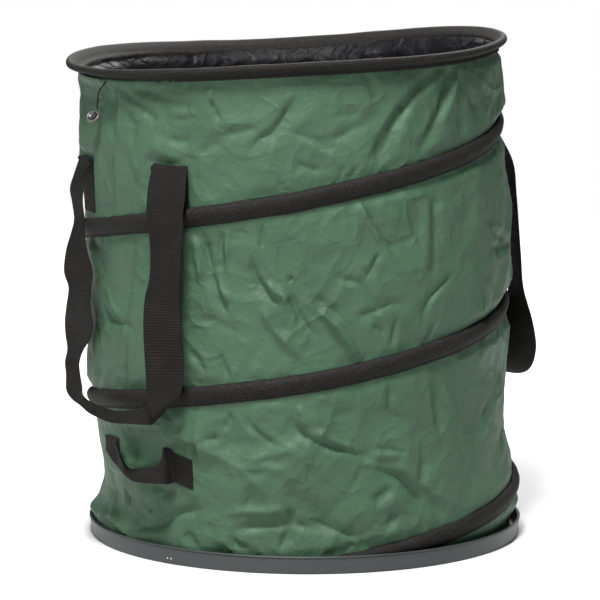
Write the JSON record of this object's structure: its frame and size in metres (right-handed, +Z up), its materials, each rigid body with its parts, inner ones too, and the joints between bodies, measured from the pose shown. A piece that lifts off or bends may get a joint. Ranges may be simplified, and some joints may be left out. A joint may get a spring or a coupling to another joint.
{
  "type": "pop up leaf bag",
  "caption": "Collapsible cloth garden bag on a round hard tray, held open by a coiled spring wire, with two carry handles and a tipping handle.",
  "frame": {"origin": "middle of the tray's flat underside", "axes": "+Z up out of the bag's mouth, -Y to the front, +X to the front view's right"},
  "size_m": [0.6271, 0.566, 0.6488],
  "materials": {
    "tray_plastic": "semi-matte grey-green moulded plastic",
    "tie_thread": "pale plastic tie",
    "floor_cloth": "black coated cloth",
    "spring_steel": "bare spring wire",
    "black_tape": "matte black woven tape",
    "green_cloth": "creased green polyester, slight sheen",
    "lining_film": "crumpled black coated lining, shiny",
    "cap_rubber": "black rubber",
    "black_webbing": "ribbed black webbing",
    "button_plastic": "glossy dark plastic"
  },
  "bodies": {
    "base": {"base_tray": "tray_plastic", "tray_tie_1": "tie_thread", "tray_tie_2": "tie_thread", "tray_tie_3": "tie_thread", "floor_panel": "floor_cloth", "base_hoop": "spring_steel", "base_ferrule": "spring_steel", "base_hem": "black_tape", "side_wall": "green_cloth", "inner_lining": "lining_film", "spiral_sleeve": "black_tape", "spiral_wire": "spring_steel", "wire_cap_lower": "cap_rubber", "wire_cap_upper": "cap_rubber"},
    "rim": {"rim_hoop": "spring_steel", "rim_ferrule": "spring_steel", "rim_binding": "black_tape", "toggle_cord": "black_tape", "toggle_button": "button_plastic"},
    "left_handle_mount": {"left_handle_end_front": "black_webbing", "left_handle_end_side": "black_webbing", "left_handle_fold_front": "black_webbing", "left_handle_fold_side": "black_webbing"},
    "left_handle": {"left_handle_strap": "black_webbing"},
    "right_handle_mount": {"right_handle_end_side": "black_webbing", "right_handle_end_back": "black_webbing", "right_handle_fold_side": "black_webbing", "right_handle_fold_back": "black_webbing"},
    "right_handle": {"right_handle_strap": "black_webbing"},
    "tipping_handle_mount": {"tipping_handle_end_left": "black_webbing", "tipping_handle_end_right": "black_webbing"},
    "tipping_handle": {"tipping_handle_strap": "black_webbing"}
  },
  "joints": [
    {"name": "collapse", "type": "slide", "parent": "base", "child": "rim", "axis": [0.04, 0, -0.9992], "range_m": [0, 0.48], "stiffness_N_per_m": 25, "springref_m": -0.35, "deforming": ["side_wall", "inner_lining", "spiral_sleeve", "spiral_wire", "wire_cap_lower", "wire_cap_upper", "left_handle_end_front", "left_handle_end_side", "right_handle_end_side", "right_handle_end_back", "tipping_handle_end_left", "tipping_handle_end_right"]},
    {"name": "left_handle_drop", "type": "slide", "parent": "base", "child": "left_handle_mount", "axis": [0.04, 0, -0.9992], "range_m": [0, 0.39]},
    {"name": "left_handle_swing", "type": "hinge", "parent": "left_handle_mount", "child": "left_handle", "pos_m": [-0.22666, -0.15641, 0.49335], "axis": [-0.604, 0.7966, -0.0256], "range_deg": [0, 112], "deforming": ["left_handle_fold_front", "left_handle_fold_side"]},
    {"name": "right_handle_drop", "type": "slide", "parent": "base", "child": "right_handle_mount", "axis": [0.04, 0, -0.9992], "range_m": [0, 0.39]},
    {"name": "right_handle_swing", "type": "hinge", "parent": "right_handle_mount", "child": "right_handle", "pos_m": [0.18504, 0.15641, 0.51298], "axis": [0.6038, -0.7963, 0.036], "range_deg": [0, 112], "deforming": ["right_handle_fold_side", "right_handle_fold_back"]},
    {"name": "tipping_handle_drop", "type": "slide", "parent": "base", "child": "tipping_handle_mount", "axis": [0.04, 0, -0.9992], "range_m": [0, 0.0715]},
    {"name": "tipping_handle_swing", "type": "hinge", "parent": "tipping_handle_mount", "child": "tipping_handle", "pos_m": [-0.20465, -0.17573, 0.14338], "axis": [-0.6626, 0.749, -0.0087], "range_deg": [0, 48]}
  ],
  "couplings": [
    {"joint": "left_handle_drop", "follows": "collapse", "ratio": 0.8115},
    {"joint": "right_handle_drop", "follows": "collapse", "ratio": 0.8115},
    {"joint": "tipping_handle_drop", "follows": "collapse", "ratio": 0.1486}
  ]
}
